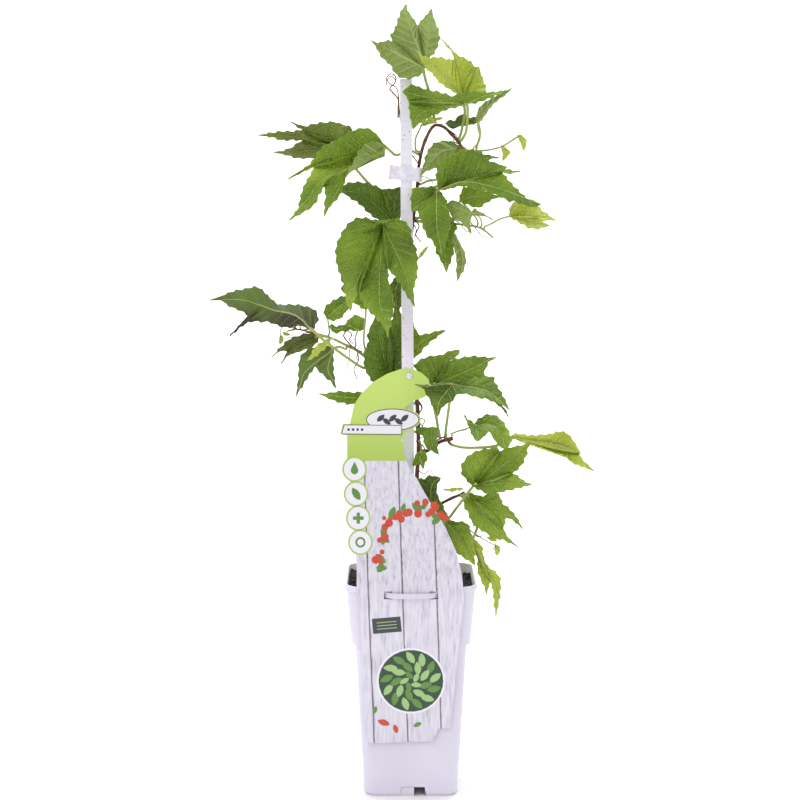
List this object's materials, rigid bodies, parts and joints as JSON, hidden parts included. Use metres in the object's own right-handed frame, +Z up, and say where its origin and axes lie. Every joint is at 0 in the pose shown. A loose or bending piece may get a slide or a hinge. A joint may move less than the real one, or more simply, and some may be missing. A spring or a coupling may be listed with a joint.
{
  "type": "potted climbing plant",
  "caption": "Young climbing ivy with lobed, toothed spring leaves on a woody stem, clipped to a white stake in a tall white pot with a hanging die-cut label.",
  "frame": {"origin": "centre of the pot's foot, on the surface that it stands on", "axes": "+Z up along the pot's axis, -Y towards the front with the label, +X to the right of someone who faces it"},
  "size_m": [0.3585, 0.1302, 0.7269],
  "materials": {
    "pot_plastic": "moulded polypropylene, white with a faint lilac cast, satin",
    "stake_plastic": "moulded white plastic channel, satin gloss",
    "clip_plastic": "translucent white moulded plastic",
    "label_card": "printed flexible plastic label, lime above and pale lavender planks below",
    "soil": "moist near-black potting compost, rough and crumbly",
    "stem_bark": "young woody stem, red-brown and satin",
    "leaf_green": "waxy mid-green blade, quilted between sunken veins",
    "leaf_bright": "young yellow-green glossy blade",
    "leaf_bronze": "young blade with a bronze-olive cast"
  },
  "bodies": {
    "root": {"pot": "pot_plastic", "soil": "soil", "stake": "stake_plastic", "clip": "clip_plastic", "label": "label_card", "label_rivet": "clip_plastic", "stem": "stem_bark", "leaf_top": "leaf_green", "leaf_top_bright": "leaf_bright", "leaf_top_front": "leaf_green", "leaf_top_dark": "leaf_green", "leaf_top_pale": "leaf_green", "leaf_left_front": "leaf_green", "leaf_left_back": "leaf_bronze", "leaf_behind_stake": "leaf_green", "leaf_centre_large": "leaf_green", "leaf_right_under": "leaf_green", "leaf_right_large": "leaf_green", "leaf_right_behind": "leaf_green", "leaf_right_hanging": "leaf_green", "leaf_right_low": "leaf_green", "leaf_right_pale": "leaf_green", "leaf_right_small": "leaf_green", "leaf_right_twig": "leaf_green", "leaf_right_light": "leaf_bright", "leaf_left_far": "leaf_bronze", "leaf_left_low": "leaf_bronze", "leaf_left_hanging": "leaf_bronze", "leaf_left_lime": "leaf_bright", "leaf_left_veined": "leaf_green", "leaf_left_wavy": "leaf_green", "leaf_left_tucked": "leaf_green", "leaf_left_label": "leaf_green", "leaf_dark": "leaf_green", "leaf_centre_small": "leaf_green", "leaf_right_stake": "leaf_green", "leaf_mid_back": "leaf_green", "leaf_mid_front": "leaf_green", "leaf_mid_heart": "leaf_green", "leaf_mid_small": "leaf_green", "leaf_right_curled": "leaf_green", "leaf_right_long": "leaf_bright", "leaf_right_broad": "leaf_green", "leaf_right_lower": "leaf_green", "leaf_low_label": "leaf_green", "leaf_low_hanging": "leaf_bright", "leaf_back_high": "leaf_green", "leaf_back_right": "leaf_green", "leaf_back_mid": "leaf_green", "leaf_back_label": "leaf_green", "leaf_back_low": "leaf_green"}
  },
  "joints": []
}
